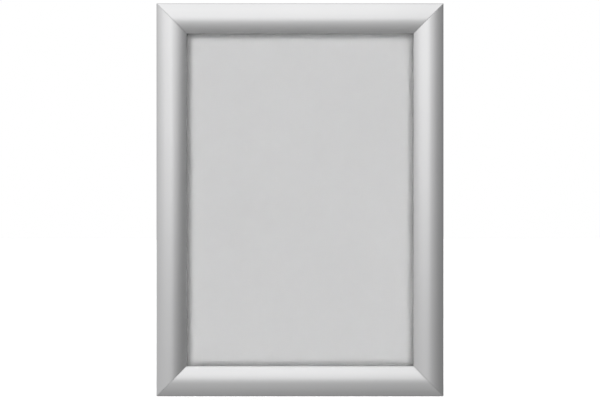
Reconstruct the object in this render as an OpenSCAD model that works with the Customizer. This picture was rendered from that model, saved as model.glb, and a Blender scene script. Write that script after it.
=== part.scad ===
// Snap poster frame for one sheet of paper.
// Four mitred aluminium back profiles are joined by steel corner brackets. A snap cover is hinged
// on the outer bead of each one, and bowed leaf springs hold it shut or open. The covers clamp a
// clear sheet and a backing panel, with the poster between them.
//
// Frame of the model: X to the right, Z up, and Y from the front towards the wall. The origin is
// the centre of the back plane, which lies on the wall.
//
// A side is drawn as a cross-section in (s, w): s runs inwards from the frame's outer edge, and w
// runs from the wall towards the front. Along a side, u is measured from its middle.

/* [Sheet] */
// Width of the sheet of paper
sheet_w = 210; // [148:1:420]
// Height of the sheet of paper
sheet_h = 297; // [210:1:594]
// How far each side covers the edge of the sheet
overlap = 11.5; // [10.8:0.1:11.7]

/* [Side profile] */
// Width of a side, seen from the front
profile_w = 24.5; // [24.4:0.1:25.5]
// Depth from the wall to the crest of a side
profile_depth = 12.6; // [12.4:0.1:13.6]
// Wall thickness of the snap cover
skin_t = 1.15; // [0.9:0.05:1.3]
// Distance of the crest from the outer edge
crest_s = 11.7; // [11.2:0.1:12.2]
// Radius across the crest
crest_r = 17; // [14:0.5:19]
// Radius of the outer front corner
corner_r = 1; // [0.8:0.05:1.1]
// Radius of the inner front edge
edge_r = 0.4; // [0.2:0.05:0.5]

/* [Hinge] */
// Radius of the bead that the cover turns on
bead_r = 1.5; // [1.4:0.05:1.6]
// Gap between the bead and the cover's socket
running_gap = 0.08; // [0.05:0.01:0.1]
// How far a cover swings open
open_angle = 75; // [60:1:78]

/* [Springs] */
// Length of a leaf spring along the side
spring_l = 20; // [12:1:30]
// Thickness of the spring steel
spring_t = 0.4; // [0.3:0.05:0.5]
// Distance of the springs from the middle of a side
spring_u = 52; // [40:1:60]

/* [Sheets] */
// Thickness of the backing panel
panel_t = 1.2; // [1:0.1:1.2]
// Thickness of the clear sheet
clear_t = 0.5; // [0.3:0.1:0.5]

/* [Fixings] */
// Radius of the holes for the wall screws
wall_hole_r = 2.25; // [1.75:0.25:2.5]
// Distance of the wall holes from the middle of the left and right sides
wall_hole_u = 100; // [90:1:100]
// Length of a corner bracket's arm, from the frame's outer corner
bracket_l = 46; // [40:1:50]

/* [Hidden] */
SIDES = ["bottom", "left", "top", "right"];
CORNERS = ["bottom_left", "bottom_right", "top_left", "top_right"];
$fn = 96;

frame_w = sheet_w + 2 * (profile_w - overlap);
frame_h = sheet_h + 2 * (profile_w - overlap);
sheet_s = profile_w - overlap;  // where the sheet's edge lies

// Clearances
base_mitre_gap = 0.05;   // from the mitre plane, on each back profile
cover_mitre_gap = 0.15;  // from the mitre plane, on each snap cover
corner_relief = 2.6;     // further cut-back of the hinge hook, so that two open covers clear
relief_w = 9.45;         // the relief lies below this height
relief_s = 8;            // and within this distance of the outer edge
slip = 0.1;              // between loose pieces that only rest on each other

// Slopes of the cover's front, in degrees
outer_slope = 20;  // where the front leaves the outer corner, rising
crest_slope = 4;   // where it meets the crest's arc, rising
fall_slope = 10;   // where it leaves the crest's arc, falling
lip_slope = 32;    // at the inner edge, falling

// Hinge
neck_w = 1;
socket_r = bead_r + running_gap;
hook_r = socket_r + 0.92;
hinge = [hook_r, 7.5];
stop_angle = 4.5;  // left between hook and neck at each end of the travel
neck_half_angle = asin(neck_w / 2 / socket_r);
hook_from = neck_half_angle - 90 + stop_angle;
hook_to = 270 - neck_half_angle - open_angle - stop_angle;

// Back profile
plate_t = 1.2;
wall_t = 1.1;
outer_inset = 0.3;  // of the back profile behind the cover's outer face
shelf_w = 4.8;      // top of the outer flange
rib_s = 11.6;       // outer face of the rib that the sheets stand against
seat = [10.5, 2.2];  // outer top corner of the seat for the springs, at the rib's foot
channel_w = 3.1;    // height of the bracket's channel
channel_from = rib_s + wall_t;
channel_to = 19.9;
slot_from = 14.2;   // the channel's lips leave this slot open
slot_to = 18.6;
platform_w = 3.9;   // the sheets lie on this
platform_to = profile_w - 0.5;
platform_t = platform_w - channel_w;
platform_edge = 2.2;  // lowest point of the platform's inner edge

// Sheets, from the platform up
panel_w = platform_w;
clear_w = panel_w + panel_t;
lip_w = clear_w + clear_t + slip;
lip_t = 1.1;
foot_l = 2.3;
foot_t = 0.8;
rib_w = clear_w + clear_t;

// Spring finger and the grooves that hold the spring's ends
finger_angle = -58;
finger_to = 4.9;
finger_t = 0.9;
groove_at = 4.2;  // distance of the finger's groove from the hinge
groove_r = 0.42;
finger_dir = polar(finger_angle, 1);
finger_side = polar(finger_angle + 90, 1);
finger_groove = hinge + groove_at * finger_dir + finger_t / 2 * finger_side;
seat_groove = [seat.x + 0.6, seat.y];
spring_half_angle = 77;
spring_reach = 0.35;  // of the spring's ends past the grooves' centres
chord = seat_groove - finger_groove;
spring_r = norm(chord) / 2 / sin(spring_half_angle);
chord_angle = atan2(chord.y, chord.x);
spring_centre = (seat_groove + finger_groove) / 2
    - spring_r * cos(spring_half_angle) * polar(chord_angle + 90, 1);

// Corner brackets and their screws
bracket_gap = 0.15;
bracket_from = channel_from + bracket_gap;
bracket_to = channel_to - bracket_gap;
bracket_t = 1.8;
screw_r = 2;
screw_at = 31;  // from the frame's outer corner, along each arm
screw_h = 2.5;
screw_s = (slot_from + slot_to) / 2;
hex_r = 1.15;
hex_depth = 1.3;
thread_gap = 0.05;

wall_hole_s = 7.4;

// Arcs of the cover's front line. Each meets the next at a common tangent.
outer_r = (crest_s - corner_r * (1 - sin(outer_slope)) - crest_r * sin(crest_slope))
    / (sin(outer_slope) - sin(crest_slope));
inner_r = (profile_w - crest_s - crest_r * sin(fall_slope)) / (sin(lip_slope) - sin(fall_slope));
crest_c = [crest_s, profile_depth - crest_r];
outer_c = crest_c + (crest_r - outer_r) * normal_at(crest_slope);
corner_c = outer_c + (outer_r - corner_r) * normal_at(outer_slope);
inner_c = crest_c + (crest_r - inner_r) * normal_at(-fall_slope);
edge_c = [profile_w - edge_r,
    inner_c.y + sqrt(pow(inner_r - edge_r, 2) - pow(profile_w - edge_r - inner_c.x, 2))];
corner_to = outer_c.x - outer_r * sin(outer_slope);  // where the corner meets the outer arc
edge_from = inner_c.x + (edge_c.x - inner_c.x) * inner_r / (inner_r - edge_r);

far = 60;  // further than any part of a cross-section

function polar(angle, r) = [r * cos(angle), r * sin(angle)];
function normal_at(slope) = [-sin(slope), cos(slope)];
function is_upright(side) = side == "left" || side == "right";
function side_length(side) = is_upright(side) ? frame_h : frame_w;
function side_half(side) = is_upright(side) ? frame_w / 2 : frame_h / 2;
function side_angle(side) = [for (i = [0:3]) if (SIDES[i] == side) 90 * i][0];

// ---------- Placing ----------

// Carries a piece drawn as the bottom side, with its outer edge at Z = 0, to any side.
module at_side(side) {
    rotate([0, side_angle(side), 0])
        translate([0, 0, -side_half(side)]) children();
}

// Draws a cross-section in (s, w) out along a side.
module along(length) {
    rotate([0, -90, 180])
        translate([0, 0, -length / 2]) linear_extrude(length) children();
}

// The space of one side between its two mitre planes, less a gap on each.
module mitred(length, gap) {
    half = length / 2 - gap;
    deep = profile_w + 5;
    intersection() {
        children();
        translate([0, 1, 0]) rotate([90, 0, 0]) linear_extrude(profile_depth + 2)
            polygon([[-half, 0], [half, 0], [half - deep, deep], [deep - half, deep]]);
    }
}

// Carries a piece drawn at the bottom left corner, outer corner at X = Z = 0, to any corner.
module at_corner(corner) {
    right = corner == "bottom_right" || corner == "top_right" ? 1 : 0;
    top = corner == "top_left" || corner == "top_right" ? 1 : 0;
    mirror([right, 0, 0]) mirror([0, 0, top])
        translate([-frame_w / 2, 0, -frame_h / 2]) children();
}

// ---------- Back profiles ----------

module back_section() {
    difference() {
        union() {
            translate([outer_inset, 0]) square([channel_to + wall_t - outer_inset, plate_t]);
            translate([outer_inset, 0]) square([wall_t, shelf_w]);
            translate([outer_inset, shelf_w - wall_t])
                square([hinge.x + neck_w / 2 - outer_inset, wall_t]);
            translate([hinge.x - neck_w / 2, shelf_w - wall_t])
                square([neck_w, hinge.y - shelf_w + wall_t]);
            translate(hinge) circle(bead_r);
            translate([rib_s, 0]) square([wall_t, rib_w]);
            translate([seat.x, 0]) square([rib_s - seat.x, seat.y]);
            translate([rib_s, channel_w]) square([slot_from - rib_s, platform_t]);
            translate([channel_to, 0]) square([wall_t, platform_w]);
            translate([slot_to, channel_w]) square([platform_to - slot_to, platform_t]);
            translate([platform_to - platform_t, platform_edge])
                square([platform_t, platform_w - platform_edge]);
        }
        translate(seat_groove) circle(groove_r);
    }
}

module back_profile(side) {
    length = side_length(side);
    color("silver") at_side(side) difference() {
        mitred(length, base_mitre_gap) along(length) back_section();
        if (is_upright(side))
            for (u = [-wall_hole_u, wall_hole_u])
                translate([u, 1, wall_hole_s]) rotate([90, 0, 0]) cylinder(r = wall_hole_r, h = 3);
    }
}

// ---------- Snap covers ----------

module under_arc(centre, radius, from_s, to_s) {
    intersection() {
        translate(centre) circle(radius, $fn = 200);
        translate([from_s, 0]) square([to_s - from_s, profile_depth + 1]);
    }
}

// Everything between the wall and the cover's front line, or that line set back by t. The crest's
// arc is the tightest of the three, so it runs on under its neighbours and joins them.
module under_front(t) {
    crest_from = crest_c.x - (crest_r - t) * sin(crest_slope);
    crest_to = crest_c.x + (crest_r - t) * sin(fall_slope);
    under_arc(outer_c, outer_r - t, t > 0 ? 0 : corner_to, crest_from);
    under_arc(crest_c, crest_r - t, crest_from - 1, crest_to + 1);
    under_arc(inner_c, inner_r - t, crest_to, t > 0 ? profile_w : edge_from);
}

// The space between the wall and a rounded edge.
module under_edge(centre, radius, from_s, to_s) {
    under_arc(centre, radius, from_s, to_s);
    translate([from_s, 0]) square([to_s - from_s, centre.y]);
}

module cover_blank() {
    under_front(0);
    under_edge(corner_c, corner_r, 0, corner_c.x);
    under_edge(edge_c, edge_r, edge_c.x, profile_w);
}

// The thin front wall, with the lip that stands on the clear sheet and its foot.
module cover_skin() {
    difference() {
        cover_blank();
        intersection() {
            under_front(skin_t);
            square([profile_w - lip_t, far]);
        }
        translate([-1, -1]) square([far, lip_w + 1]);
        translate([-1, -1]) square([hinge.x + 1, hinge.y + 1]);
    }
    translate([profile_w - foot_l, lip_w]) square([foot_l, foot_t]);
}

module hook() {
    translate(hinge) circle(hook_r);
    intersection() {
        cover_blank();
        translate([0, hinge.y]) square([hinge.x, far]);
    }
}

module finger() {
    translate(hinge) rotate(finger_angle)
        translate([socket_r, -finger_t / 2]) square([finger_to - socket_r, finger_t]);
}

module cover_section() {
    difference() {
        union() {
            cover_skin();
            hook();
            finger();
        }
        translate(hinge) circle(socket_r);
        translate(hinge)
            polygon([[0, 0], polar(hook_to, far), polar((hook_to + hook_from + 360) / 2, far),
                     polar(hook_from + 360, far)]);
        translate(finger_groove) circle(groove_r);
    }
}

// Cuts the hook and finger back from both mitre planes.
module corner_cuts(length) {
    from = length / 2 - cover_mitre_gap - corner_relief;
    for (end = [0, 1]) mirror([end, 0, 0])
        translate([0, 1, 0]) rotate([90, 0, 0]) linear_extrude(relief_w + 1)
            polygon([[from + 1, -1], [from + far, -1], [from + far, relief_s],
                     [from - relief_s, relief_s]]);
}

module snap_cover(side) {
    length = side_length(side);
    color("gainsboro") at_side(side) difference() {
        mitred(length, cover_mitre_gap) along(length) cover_section();
        corner_cuts(length);
    }
}

// ---------- Springs ----------

module spring_section() {
    reach = spring_reach / spring_r * 180 / PI;
    from = 90 - spring_half_angle - reach;
    translate(spring_centre) rotate(chord_angle) difference() {
        intersection() {
            circle(spring_r + spring_t / 2);
            polygon([[0, 0], polar(from, far), [0, far], polar(180 - from, far)]);
        }
        circle(spring_r - spring_t / 2);
    }
}

module springs(side) {
    color("slategray") at_side(side)
        for (u = [-spring_u, spring_u]) translate([u, 0, 0]) along(spring_l) spring_section();
}

// ---------- Corner brackets and screws ----------

module bracket_outline() {
    difference() {
        translate([bracket_from, bracket_from])
            square([bracket_l - bracket_from, bracket_l - bracket_from]);
        translate([bracket_to, bracket_to]) square([far, far]);
        for (at = [[screw_at, screw_s], [screw_s, screw_at]]) translate(at) circle(screw_r);
    }
}

module corner_bracket(corner) {
    color("darkgray") at_corner(corner) translate([0, -plate_t, 0])
        rotate([90, 0, 0]) linear_extrude(bracket_t) bracket_outline();
}

module grub_screw() {
    rotate([90, 0, 0]) difference() {
        cylinder(r = screw_r - thread_gap, h = screw_h, $fn = 48);
        translate([0, 0, screw_h - hex_depth]) cylinder(r = hex_r, h = hex_depth + 1, $fn = 6);
    }
}

module grub_screws() {
    color("dimgray") for (corner = CORNERS) at_corner(corner)
        for (at = [[screw_at, screw_s], [screw_s, screw_at]])
            translate([at.x, -plate_t, at.y]) grub_screw();
}

// ---------- Sheets ----------

// A flat sheet centred in the frame, from height from_w up.
module flat_sheet(from_w, thickness) {
    translate([slip - sheet_w / 2, -from_w - thickness, slip - sheet_h / 2])
        cube([sheet_w - 2 * slip, thickness, sheet_h - 2 * slip]);
}

module backing_panel() {
    color("lightgray") flat_sheet(panel_w, panel_t);
}

module clear_sheet() {
    color([0.9, 0.92, 0.93, 0.3]) flat_sheet(clear_w, clear_t);
}

for (side = SIDES) {
    back_profile(side);
    snap_cover(side);
    springs(side);
}
for (corner = CORNERS)
    corner_bracket(corner);
grub_screws();
backing_panel();
clear_sheet();
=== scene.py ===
"""Snap poster frame for an A4 sheet, standing on a pale floor in soft studio light.

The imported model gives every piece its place. The snap covers and the leaf springs are built here, with
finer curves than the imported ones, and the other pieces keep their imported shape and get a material.

A side is drawn as a cross-section in (s, w), in millimetres: s runs inwards from the frame's outer
edge, and w runs from the wall towards the front. Along a side, u is measured from its middle.
"""

import math

import bmesh
import bpy
from mathutils import Matrix, Vector


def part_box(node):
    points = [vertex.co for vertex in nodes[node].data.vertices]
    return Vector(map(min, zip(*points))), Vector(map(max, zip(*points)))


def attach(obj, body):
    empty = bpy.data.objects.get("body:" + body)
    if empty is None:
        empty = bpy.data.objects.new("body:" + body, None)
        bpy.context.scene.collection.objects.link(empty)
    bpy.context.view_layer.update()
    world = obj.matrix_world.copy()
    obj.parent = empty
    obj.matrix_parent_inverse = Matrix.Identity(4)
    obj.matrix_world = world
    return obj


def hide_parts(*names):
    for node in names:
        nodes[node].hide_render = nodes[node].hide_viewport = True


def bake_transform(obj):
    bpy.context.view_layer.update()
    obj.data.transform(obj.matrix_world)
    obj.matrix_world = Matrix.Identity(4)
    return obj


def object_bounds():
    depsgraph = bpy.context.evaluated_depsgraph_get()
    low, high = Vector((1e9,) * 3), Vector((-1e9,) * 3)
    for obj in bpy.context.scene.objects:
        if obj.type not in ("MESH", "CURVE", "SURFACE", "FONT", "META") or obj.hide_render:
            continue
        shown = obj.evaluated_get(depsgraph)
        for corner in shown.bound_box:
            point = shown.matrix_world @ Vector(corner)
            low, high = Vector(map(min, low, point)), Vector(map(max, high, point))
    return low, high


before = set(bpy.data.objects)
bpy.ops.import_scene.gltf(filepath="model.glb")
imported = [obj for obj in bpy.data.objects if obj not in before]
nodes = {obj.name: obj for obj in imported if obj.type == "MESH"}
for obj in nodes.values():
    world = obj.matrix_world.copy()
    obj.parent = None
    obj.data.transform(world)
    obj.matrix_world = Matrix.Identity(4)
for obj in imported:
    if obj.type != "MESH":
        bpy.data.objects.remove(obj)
cad_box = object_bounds()

MM = 0.001
SIDES = ("bottom", "left", "top", "right")
CORNERS = ("bottom_left", "bottom_right", "top_left", "top_right")

LOW, HIGH = cad_box
FRAME_W = HIGH.x - LOW.x
FRAME_H = HIGH.z - LOW.z

# The cover's section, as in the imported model.
PROFILE_W = 24.5
PROFILE_DEPTH = 12.6
SKIN = 1.15
CREST_S = 11.7
CREST_R = 17
CORNER_R = 1.0
EDGE_R = 0.4
OUTER_SLOPE, CREST_SLOPE, FALL_SLOPE, LIP_SLOPE = 20, 4, 10, 32
HINGE = Vector((2.5, 7.5))
SOCKET_R = 1.58
HOOK_R = 2.5
HOOK_FROM, HOOK_TO = -67.05, 172.05
LIP_W, LIP_T = 5.7, 1.1
FOOT_L, FOOT_T = 2.3, 0.8
FINGER_ANGLE, FINGER_TO, FINGER_T = -58, 4.9, 0.9
GROOVE_AT, GROOVE_R = 4.2, 0.42
RELIEF, RELIEF_W, RELIEF_S = 2.6, 9.45, 8.0
# From the mitre plane to a cover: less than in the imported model, as the mitres are to look closed.
COVER_GAP = 0.04
# How finely each arc of the front is cut, in degrees, from outside in.
FRONT_STEPS = 9, 0.6, 1.2, 0.9, 9

# Rounding of sharp edges, in millimetres.
MITRE_BEVEL = 0.16
SPRING_BEVEL = 0.08
# In a cover's outer half, the mitres' rounding stays this far in front of the relief.
CLEAR_OF_RELIEF = 0.6
# Edges that turn by more than this, in degrees, are rounded on the springs, or shaded as sharp.
BEVEL_ANGLE, SHARP_ANGLE = 35, 30
# Points no further apart than this, in millimetres, are one point.
SAME = 0.001

# How far the clear sheet's faces are drawn in, off the panel's.
SHEET_CLEARANCE = 0.05

# Painted shade on the backing panel, along the lips: how much it darkens it, and how far it spreads.
PAINTED_SHADE_DEPTH = 0.36
PAINTED_SHADE_REACH = 6.8 * MM

# The springs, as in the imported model.
SEAT_GROOVE = Vector((11.1, 2.2))
SPRING_HALF_ANGLE, SPRING_REACH = 77, 6.2
SPRING_L, SPRING_T, SPRING_U = 20, 0.4, 52


def polar(angle, radius=1.0):
    """The vector of that length at that angle, in degrees."""
    return radius * Vector((math.cos(math.radians(angle)), math.sin(math.radians(angle))))


def arc(centre, radius, start, end, step):
    """Points along an arc, from one angle to the other, in degrees, about a step apart."""
    count = max(2, math.ceil(abs(end - start) / step))
    return [centre + polar(start + (end - start) * i / count, radius) for i in range(count + 1)]


# ---------- Sections ----------

def front_arcs():
    """(centre, radius, first angle, last angle) of each arc of the cover's front, from outside in."""
    outer, crest, fall, lip = (math.sin(math.radians(a))
                               for a in (OUTER_SLOPE, CREST_SLOPE, FALL_SLOPE, LIP_SLOPE))
    outer_r = (CREST_S - CORNER_R * (1 - outer) - CREST_R * crest) / (outer - crest)
    inner_r = (PROFILE_W - CREST_S - CREST_R * fall) / (lip - fall)
    crest_c = Vector((CREST_S, PROFILE_DEPTH - CREST_R))
    outer_c = crest_c + polar(90 + CREST_SLOPE, CREST_R - outer_r)
    inner_c = crest_c + polar(90 - FALL_SLOPE, CREST_R - inner_r)
    corner_c = outer_c + polar(90 + OUTER_SLOPE, outer_r - CORNER_R)
    edge_s = PROFILE_W - EDGE_R
    edge_angle = math.degrees(math.acos((edge_s - inner_c.x) / (inner_r - EDGE_R)))
    edge_c = inner_c + polar(edge_angle, inner_r - EDGE_R)
    return [(corner_c, CORNER_R, 180, 90 + OUTER_SLOPE),
            (outer_c, outer_r, 90 + OUTER_SLOPE, 90 + CREST_SLOPE),
            (crest_c, CREST_R, 90 + CREST_SLOPE, 90 - FALL_SLOPE),
            (inner_c, inner_r, 90 - FALL_SLOPE, edge_angle),
            (edge_c, EDGE_R, edge_angle, 0)]


def cover_section():
    """The cover's outline, clockwise from the hook's outer end."""
    arcs = front_arcs()
    front = []
    for (centre, radius, start, end), step in zip(arcs, FRONT_STEPS):
        front += arc(centre, radius, start, end, step)[bool(front):]
    outer_end = HINGE + polar(HOOK_TO, HINGE.x / -polar(HOOK_TO).x)
    foot_s = PROFILE_W - FOOT_L
    lip_s = PROFILE_W - LIP_T
    foot = [Vector((PROFILE_W, LIP_W)), Vector((foot_s, LIP_W)), Vector((foot_s, LIP_W + FOOT_T)),
            Vector((lip_s, LIP_W + FOOT_T))]

    centre, radius, start, end = arcs[3]
    meets_lip = math.degrees(math.acos((lip_s - centre.x) / (radius - SKIN)))
    under = arc(centre, radius - SKIN, meets_lip, start, step=1.5)
    centre, radius, start, end = arcs[2]
    under += arc(centre, radius - SKIN, end, start, step=2)[1:]
    centre, radius, start, end = arcs[1]
    near, far = radius - SKIN, centre - HINGE
    along = (HOOK_R ** 2 - near ** 2 + far.length_squared) / (2 * far.length)
    aside = math.sqrt(HOOK_R ** 2 - along ** 2)
    meets_hook = HINGE + far.normalized() * along + Vector((-far.y, far.x)).normalized() * aside
    to_hook = meets_hook - centre
    under += arc(centre, near, end, math.degrees(math.atan2(to_hook.y, to_hook.x)), step=0.8)[1:]

    from_hinge = meets_hook - HINGE
    finger = polar(FINGER_ANGLE)
    across = polar(FINGER_ANGLE + 90, FINGER_T / 2)
    joins = FINGER_ANGLE + math.degrees(math.asin(FINGER_T / 2 / HOOK_R))
    hook = arc(HINGE, HOOK_R, math.degrees(math.atan2(from_hinge.y, from_hinge.x)), joins, step=6)[1:]
    groove = arc(HINGE + finger * GROOVE_AT + across, GROOVE_R,
                 FINGER_ANGLE + 180, FINGER_ANGLE + 360, step=18)
    tip = [HINGE + finger * FINGER_TO + across, HINGE + finger * FINGER_TO - across]
    cut_at = FINGER_T / 2 / math.sin(math.radians(FINGER_ANGLE - HOOK_FROM))
    socket = [HINGE + polar(HOOK_FROM, cut_at)] + arc(HINGE, SOCKET_R, HOOK_FROM, HOOK_TO, step=6)
    return [outer_end] + front + foot + under + hook + groove + tip + socket


def spring_section():
    """The leaf spring's bowed outline, and the groove in the finger that it bears on."""
    start = HINGE + polar(FINGER_ANGLE, GROOVE_AT) + polar(FINGER_ANGLE + 90, FINGER_T / 2)
    chord = SEAT_GROOVE - start
    lean = math.degrees(math.atan2(chord.y, chord.x))
    radius = chord.length / 2 / math.sin(math.radians(SPRING_HALF_ANGLE))
    centre = (start + SEAT_GROOVE) / 2 - polar(
        lean + 90, radius * math.cos(math.radians(SPRING_HALF_ANGLE)))
    half = SPRING_HALF_ANGLE + SPRING_REACH
    outline = arc(centre, radius + SPRING_T / 2, lean + 90 + half, lean + 90 - half, step=5)
    outline += arc(centre, radius - SPRING_T / 2, lean + 90 - half, lean + 90 + half, step=5)
    return outline, start


# ---------- Pieces ----------

def side_matrix(side):
    """Carries (u, w, s), in millimetres, from the bottom side's place to any side."""
    half = FRAME_H / 2 if side in ("bottom", "top") else FRAME_W / 2
    local = Matrix(((MM, 0, 0, 0), (0, -MM, 0, 0), (0, 0, MM, -half), (0, 0, 0, 1)))
    return Matrix.Rotation(math.radians(90 * SIDES.index(side)), 4, "Y") @ local


def side_length(side):
    """A side's length along its outer edge, in millimetres."""
    return (FRAME_W if side in ("bottom", "top") else FRAME_H) / MM


def extruded(name, outline, ends):
    """A closed mesh in (u, w, s). ends gives each point's two values of u."""
    mesh = bmesh.new()
    loops = [[mesh.verts.new((ends(point)[k], point.y, point.x)) for point in outline]
             for k in (0, 1)]
    count = len(outline)
    for i in range(count):
        j = (i + 1) % count
        mesh.faces.new((loops[0][i], loops[0][j], loops[1][j], loops[1][i]))
    mesh.faces.new(loops[0])
    mesh.faces.new(loops[1][::-1])
    bmesh.ops.remove_doubles(mesh, verts=mesh.verts, dist=SAME / 2)
    bmesh.ops.recalc_face_normals(mesh, faces=mesh.faces)
    data = bpy.data.meshes.new(name)
    mesh.to_mesh(data)
    mesh.free()
    piece = bpy.data.objects.new(name, data)
    bpy.context.scene.collection.objects.link(piece)
    return piece


def apply_modifiers(piece):
    """Makes the piece's mesh the one that its modifiers give."""
    bpy.context.view_layer.update()
    evaluated = piece.evaluated_get(bpy.context.evaluated_depsgraph_get())
    piece.data = bpy.data.meshes.new_from_object(evaluated)
    piece.modifiers.clear()


def settle(piece, matrix):
    """Applies the piece's modifiers and carries its mesh to its place. The object only turns and moves."""
    apply_modifiers(piece)
    place, turn, _ = matrix.decompose()
    upright = Matrix.LocRotScale(place, turn, None)
    scaling = upright.inverted() @ matrix
    piece.data.transform(scaling)
    if scaling.is_negative:
        piece.data.flip_normals()
    piece.matrix_world = upright


def bevelled(piece, width, limit="ANGLE"):
    """Rounds the piece's sharp edges, or with the limit WEIGHT its marked edges."""
    modifier = piece.modifiers.new("edges", "BEVEL")
    modifier.width = width
    modifier.segments = 2
    modifier.limit_method = limit
    modifier.angle_limit = math.radians(BEVEL_ANGLE)
    modifier.harden_normals = True
    modifier.use_clamp_overlap = limit == "ANGLE"


def mark_mitres(piece, half):
    """Marks a cover's edges where its front meets its two mitres, clear of the hook's cut corners."""
    weights = piece.data.attributes.new("bevel_weight_edge", "FLOAT", "EDGE")
    for edge in piece.data.edges:
        ends = [piece.data.vertices[index].co for index in edge.vertices]
        on_mitre = all(abs(abs(u) + s - half) < SAME
                       and w > (LIP_W if s > CREST_S else RELIEF_W + CLEAR_OF_RELIEF)
                       for u, w, s in ends)
        weights.data[edge.index].value = on_mitre and ends[0].x * ends[1].x > 0


def joined(piece, distance):
    """Joins points that lie that close together."""
    modifier = piece.modifiers.new("joined", "WELD")
    modifier.merge_threshold = distance


def drawn_in(piece, depth):
    """Draws a block's faces in a little, so that light passes between it and what it lies on."""
    joined(piece, SAME * MM)
    modifier = piece.modifiers.new("clearance", "DISPLACE")
    modifier.mid_level = 0
    modifier.strength = -depth * math.sqrt(3)  # each corner moves along its diagonal


def smooth(piece):
    """Shades curves smoothly, and keeps the edges that turn by more than SHARP_ANGLE."""
    piece.data.shade_smooth()
    piece.data.set_sharp_from_angle(angle=math.radians(SHARP_ANGLE))


def snap_cover(side, material):
    """One snap cover, mitred, with its hook cut back near the corners."""
    half = side_length(side) / 2 - COVER_GAP
    piece = extruded("cover_" + side, cover_section(),
                     lambda point: (-half + point.x, half - point.x))
    reach, outside = half - RELIEF, half + 10
    corner = [Vector((s, w)) for s, w in ((-1, -1), (-1, RELIEF_W), (RELIEF_S, RELIEF_W),
                                          (RELIEF_S, -1))]
    cutters = []
    for sign in (-1, 1):
        cutter = extruded("cutter", corner, lambda point: (sign * (reach - point.x), sign * outside))
        cut = piece.modifiers.new("corner", "BOOLEAN")
        cut.operation, cut.solver, cut.object = "DIFFERENCE", "EXACT", cutter
        cutters.append(cutter)
    apply_modifiers(piece)
    for cutter in cutters:
        bpy.data.objects.remove(cutter)
    mark_mitres(piece, half)
    bevelled(piece, MITRE_BEVEL, limit="WEIGHT")
    joined(piece, SAME)
    smooth(piece)
    settle(piece, side_matrix(side))
    piece.data.materials.clear()
    piece.data.materials.append(material)
    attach(piece, side + "_cover")
    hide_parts("snap_cover_" + side)


def leaf_springs(side, material):
    """The two springs of a side, bowed between the back profile's seat and the cover's finger."""
    outline, start = spring_section()
    matrix = side_matrix(side)
    for number, middle in enumerate((-SPRING_U, SPRING_U), 1):
        piece = extruded(f"spring_{side}_{number}", outline,
                         lambda point: (middle - SPRING_L / 2, middle + SPRING_L / 2))
        bevelled(piece, SPRING_BEVEL)
        smooth(piece)
        settle(piece, matrix)
        piece.data.materials.append(material)
        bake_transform(piece)
        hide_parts("springs_" + side)


# ---------- Materials ----------

class Nodes:
    """A material's node tree, with its Principled BSDF and object coordinates."""

    def __init__(self, name, **settings):
        self.material = bpy.data.materials.new(name)
        self.material.use_nodes = True
        self.tree = self.material.node_tree
        self.shader = self.tree.nodes["Principled BSDF"]
        for key, value in settings.items():
            self.shader.inputs[key.replace("_", " ")].default_value = value

    def add(self, kind, inputs=(), **settings):
        """A node of that kind. inputs maps its sockets to values or to other nodes' outputs."""
        node = self.tree.nodes.new(kind)
        for key, value in settings.items():
            setattr(node, key, value)
        for key, value in dict(inputs).items():
            self.feed(node.inputs[key], value)
        return node

    def feed(self, socket, value):
        """Links a socket, or sets its value."""
        if isinstance(value, bpy.types.NodeSocket):
            self.tree.links.new(value, socket)
        else:
            socket.default_value = value

    def stretched(self, scale):
        """Object coordinates, scaled."""
        place = self.add("ShaderNodeTexCoord").outputs["Object"]
        return self.add("ShaderNodeMapping", {"Vector": place, "Scale": scale}).outputs["Vector"]

    def noise(self, scale, detail):
        """Noise over the stretched coordinates."""
        inputs = {"Vector": self.stretched(scale), "Scale": 1.0, "Detail": detail}
        return self.add("ShaderNodeTexNoise", inputs).outputs["Fac"]

    def ranged(self, value, low, high):
        """A value from 0 to 1, mapped on to another range."""
        inputs = {"Value": value, "To Min": low, "To Max": high}
        return self.add("ShaderNodeMapRange", inputs).outputs["Result"]

    def maths(self, operation, *values):
        """The result of a sum or comparison."""
        node = self.add("ShaderNodeMath", operation=operation)
        for socket, value in zip(node.inputs, values):
            self.feed(socket, value)
        return node.outputs["Value"]

    def tinted(self, value, dark, light):
        """A mix of two colours."""
        ramp = self.add("ShaderNodeValToRGB", {"Fac": value})
        ramp.color_ramp.elements[0].color = (*dark, 1)
        ramp.color_ramp.elements[1].color = (*light, 1)
        return ramp.outputs["Color"]

    def bump(self, height, distance):
        """Bumps up to that distance high, in metres."""
        inputs = {"Height": height, "Distance": distance, "Strength": 1.0}
        self.feed(self.shader.inputs["Normal"],
                  self.add("ShaderNodeBump", inputs).outputs["Normal"])


def grained_aluminium(name, along, colour, roughness):
    """Satin aluminium with fine extrusion lines along one of the object's axes."""
    material = Nodes(name, Metallic=1.0)
    lines = [1400.0 if axis != along else 6.0 for axis in "XYZ"]
    grain = material.noise(lines, detail=4)
    cloud = material.noise((22, 22, 22), detail=2)
    dark, light = (tuple(c * k for c in colour) for k in (0.975, 1.02))
    material.feed(material.shader.inputs["Base Color"], material.tinted(cloud, dark, light))
    material.feed(material.shader.inputs["Roughness"],
                  material.ranged(grain, roughness - 0.05, roughness + 0.05))
    material.bump(grain, 0.000004)
    return material.material


def spring_steel():
    """Polished strip with a faint bluing."""
    material = Nodes("spring_steel", Metallic=1.0)
    grain = material.noise((40, 900, 900), detail=3)
    heat = material.noise((60, 60, 60), detail=1)
    material.feed(material.shader.inputs["Base Color"],
                  material.tinted(heat, (0.30, 0.31, 0.36), (0.46, 0.46, 0.47)))
    material.feed(material.shader.inputs["Roughness"], material.ranged(grain, 0.2, 0.36))
    material.bump(grain, 0.000003)
    return material.material


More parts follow.
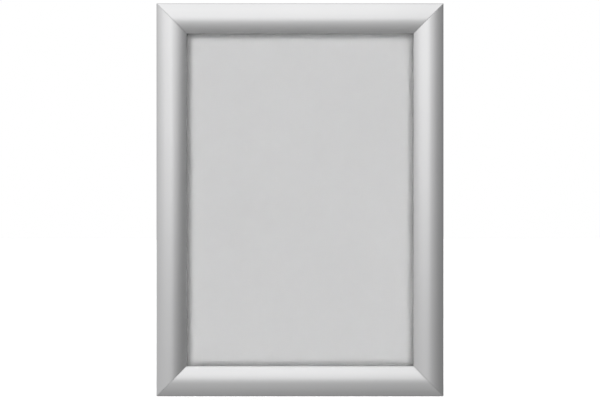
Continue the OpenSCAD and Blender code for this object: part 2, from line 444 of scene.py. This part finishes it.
def zinc_plate():
    """Zinc plating with a fine spangle."""
    material = Nodes("zinc_plate", Metallic=1.0)
    inputs = {"Vector": material.stretched((1, 1, 1)), "Scale": 260.0}
    spangle = material.add("ShaderNodeTexVoronoi", inputs).outputs["Distance"]
    fine = material.noise((1500, 1500, 1500), detail=3)
    material.feed(material.shader.inputs["Base Color"],
                  material.tinted(spangle, (0.52, 0.53, 0.55), (0.68, 0.69, 0.70)))
    material.feed(material.shader.inputs["Roughness"], material.ranged(fine, 0.32, 0.5))
    material.bump(fine, 0.000008)
    return material.material


def black_oxide():
    """Dark, slightly uneven oxide."""
    material = Nodes("black_oxide", Metallic=1.0)
    fine = material.noise((2500, 2500, 2500), detail=3)
    material.feed(material.shader.inputs["Base Color"],
                  material.tinted(fine, (0.035, 0.035, 0.037), (0.10, 0.10, 0.105)))
    material.feed(material.shader.inputs["Roughness"], material.ranged(fine, 0.35, 0.55))
    material.bump(fine, 0.000006)
    return material.material


def grey_board(colour, front):
    """Matt styrene board: even colour, the faint orange peel of a pressed sheet, and on its front, at
    that y, a soft band of painted shade either side of the covers' lips."""
    material = Nodes("grey_board", Roughness=0.62)
    cloud = material.noise((14, 14, 14), detail=3)
    fine = material.noise((1800, 1800, 1800), detail=2)
    dark, light = (tuple(c * k for c in colour) for k in (0.995, 1.005))
    clean = material.tinted(cloud, dark, light)
    place = material.add("ShaderNodeSeparateXYZ", {"Vector": material.stretched((1, 1, 1))}).outputs
    inside = [material.maths("SUBTRACT", size / 2 - PROFILE_W * MM, material.maths("ABSOLUTE", at))
              for size, at in ((FRAME_W, place["X"]), (FRAME_H, place["Z"]))]
    from_lip = material.maths("ABSOLUTE", material.maths("MINIMUM", *inside))
    # Painted shade: the board's front is mixed towards black near the lips' line, fading out at the reach.
    painted_lip_shade = material.add("ShaderNodeMapRange", {"Value": from_lip, "From Max": PAINTED_SHADE_REACH,
                                               "To Min": PAINTED_SHADE_DEPTH, "To Max": 0.0},
                        interpolation_type="SMOOTHSTEP").outputs["Result"]
    on_front = material.maths("LESS_THAN", place["Y"], front + 0.1 * MM)
    mixed = material.add("ShaderNodeMix", {"Factor": material.maths("MULTIPLY", painted_lip_shade, on_front)},
                         data_type="RGBA")
    material.feed(mixed.inputs["A"], clean)
    material.feed(mixed.inputs["B"], (0, 0, 0, 1))
    material.feed(material.shader.inputs["Base Color"], mixed.outputs["Result"])
    material.feed(material.shader.inputs["Roughness"], material.ranged(fine, 0.55, 0.7))
    material.bump(fine, 0.00001)
    return material.material


def clear_plastic():
    """Anti-glare sheet: nearly all clear, with a fine matt face."""
    material = Nodes("clear_plastic", Roughness=0.4, IOR=1.53, Alpha=0.1)
    fine = material.noise((2200, 2200, 2200), detail=3)
    material.feed(material.shader.inputs["Base Color"],
                  material.tinted(fine, (0.91, 0.91, 0.91), (0.96, 0.96, 0.96)))
    material.feed(material.shader.inputs["Roughness"], material.ranged(fine, 0.34, 0.46))
    material.bump(fine, 0.000008)
    return material.material


def pale_floor():
    """A nearly white floor that gives off part of its light itself."""
    material = Nodes("pale_floor", Roughness=0.9, Specular_IOR_Level=0.0, Emission_Strength=0.78,
                     Emission_Color=(1, 1, 1, 1))
    cloud = material.noise((3, 3, 3), detail=2)
    material.feed(material.shader.inputs["Base Color"],
                  material.tinted(cloud, (0.34, 0.34, 0.34), (0.36, 0.36, 0.36)))
    return material.material


def paint(node, material):
    """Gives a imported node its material."""
    piece = nodes[node]
    piece.data.materials.clear()
    piece.data.materials.append(material)
    return piece


# ---------- Studio ----------

def make_camera(distance=2.0, lens=146.15, below=0.14 * MM):
    """A long lens straight in front of the frame, level with its middle but for a hair."""
    data = bpy.data.cameras.new("camera")
    data.lens = lens
    data.sensor_width = 36
    camera = bpy.data.objects.new("camera", data)
    bpy.context.scene.collection.objects.link(camera)
    camera.location = (0, LOW.y - distance, (LOW.z + HIGH.z) / 2 - below)
    camera.rotation_euler = (math.radians(90), 0, 0)
    bpy.context.scene.camera = camera


def make_floor(reach=8.0):
    """The floor under the frame, which lights nothing."""
    mesh = bpy.data.meshes.new("floor")
    corners = ((-reach, -reach), (reach, -reach), (reach, reach), (-reach, reach))
    mesh.from_pydata([(x, y, LOW.z) for x, y in corners], [], [(0, 1, 2, 3)])
    floor = bpy.data.objects.new("floor", mesh)
    bpy.context.scene.collection.objects.link(floor)
    floor.data.materials.append(pale_floor())
    floor.visible_glossy = floor.visible_diffuse = False


# Light that matt surfaces get: a ring in front of the frame and one behind it, where a direction's y is
# RING_AT in size. RING_LEAN makes it stronger at the upper left.
RING_PEAK = 5.78
RING_AT, RING_HALF_WIDTH = 0.55, 0.12
RING_LEAN = 0.3
# Light that shiny surfaces reflect: brightest at SHINE, less to the right, to the left and below.
SHINE = 0.562
RIGHT_LEVEL, RIGHT_FROM, RIGHT_TO = 0.33, 0.0, 0.5
LEFT_LEVEL, LEFT_FROM, LEFT_TO = 0.91, 0.0, -0.9
BELOW_LEVEL, BELOW_FROM, BELOW_TO = 0.24, 0.0, -1.3


def make_world():
    """White to the camera, two rings of light to matt surfaces, and a soft gradient to shiny ones.

    What shiny surfaces reflect on to matt ones is left out.
    """
    world = bpy.data.worlds.new("studio")
    bpy.context.scene.world = world
    world.use_nodes = True
    world.cycles.sampling_method = "NONE"
    tree = world.node_tree

    def add(kind, *values, **settings):
        node = tree.nodes.new(kind)
        for key, value in settings.items():
            setattr(node, key, value)
        for socket, value in zip(node.inputs, values):
            if isinstance(value, bpy.types.NodeSocket):
                tree.links.new(value, socket)
            elif value is not None:
                socket.default_value = value
        return node.outputs[0]

    def maths(operation, *values):
        return add("ShaderNodeMath", *values, operation=operation)

    def graded(value, start, end, level):
        """1 before start, level after end."""
        return add("ShaderNodeMapRange", value, start, end, 1.0, level,
                   interpolation_type="SMOOTHSTEP")

    direction = add("ShaderNodeTexCoord")
    separate = tree.nodes.new("ShaderNodeSeparateXYZ")
    tree.links.new(direction.node.outputs["Generated"], separate.inputs[0])
    x, y, z = separate.outputs
    across = maths("MULTIPLY", graded(x, RIGHT_FROM, RIGHT_TO, RIGHT_LEVEL),
                   graded(x, LEFT_FROM, LEFT_TO, LEFT_LEVEL))
    upright = graded(z, BELOW_FROM, BELOW_TO, BELOW_LEVEL)
    shine = maths("MULTIPLY", maths("MULTIPLY", across, upright), SHINE)

    off_ring = maths("DIVIDE", maths("SUBTRACT", maths("ABSOLUTE", y), RING_AT), RING_HALF_WIDTH)
    ring = maths("MAXIMUM", maths("SUBTRACT", 1.0, maths("MULTIPLY", off_ring, off_ring)), 0.0)
    lean = maths("MULTIPLY_ADD", maths("SUBTRACT", z, x), RING_LEAN, 1.0)
    dome = maths("MULTIPLY", maths("MULTIPLY", ring, lean), RING_PEAK)

    rays = tree.nodes.new("ShaderNodeLightPath")
    before_matt = maths("LESS_THAN", rays.outputs["Diffuse Depth"], 0.5)
    strength = maths("MULTIPLY", shine, before_matt)
    for ray, level in (("Is Diffuse Ray", dome), ("Is Camera Ray", 1.0)):
        strength = add("ShaderNodeMix", rays.outputs[ray], None, strength, level)
    background = tree.nodes["Background"]
    tree.links.new(strength, background.inputs["Strength"])
    background.inputs["Color"].default_value = (1, 1, 1, 1)


def soft_light(name, place, size, radiance):
    """An area light that faces the frame's middle. Only shiny surfaces see it."""
    data = bpy.data.lights.new(name, "AREA")
    data.shape = "RECTANGLE"
    data.size, data.size_y = size
    data.energy = radiance * math.pi * size[0] * size[1]
    light = bpy.data.objects.new(name, data)
    bpy.context.scene.collection.objects.link(light)
    light.location = place
    light.rotation_euler = (-Vector(place)).to_track_quat("-Z", "Y").to_euler()
    light.visible_camera = light.visible_diffuse = False


# ---------- Build ----------

make_camera()
make_floor()
make_world()
soft_light("key", place=(-0.043, -0.414, 0.313), size=(0.70, 0.82), radiance=0.57)

view = bpy.context.scene.view_settings
view.view_transform = "Standard"
view.look = "None"

cover_metal = grained_aluminium("cover_aluminium", "X", colour=(0.86, 0.86, 0.865), roughness=0.416)
spring_metal = spring_steel()
for side in SIDES:
    snap_cover(side, cover_metal)
    leaf_springs(side, spring_metal)

back_metal = {axis: grained_aluminium("back_aluminium_" + axis.lower(), axis,
                                      colour=(0.80, 0.80, 0.805), roughness=0.38)
              for axis in "XZ"}
for side in SIDES:
    paint("back_profile_" + side, back_metal["Z" if side in ("left", "right") else "X"])

zinc = zinc_plate()
for corner in CORNERS:
    paint("corner_bracket_" + corner, zinc)
paint("grub_screws", black_oxide())
paint("backing_panel", grey_board((0.57, 0.57, 0.57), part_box("backing_panel")[0].y))
drawn_in(paint("clear_sheet", clear_plastic()), SHEET_CLEARANCE * MM)
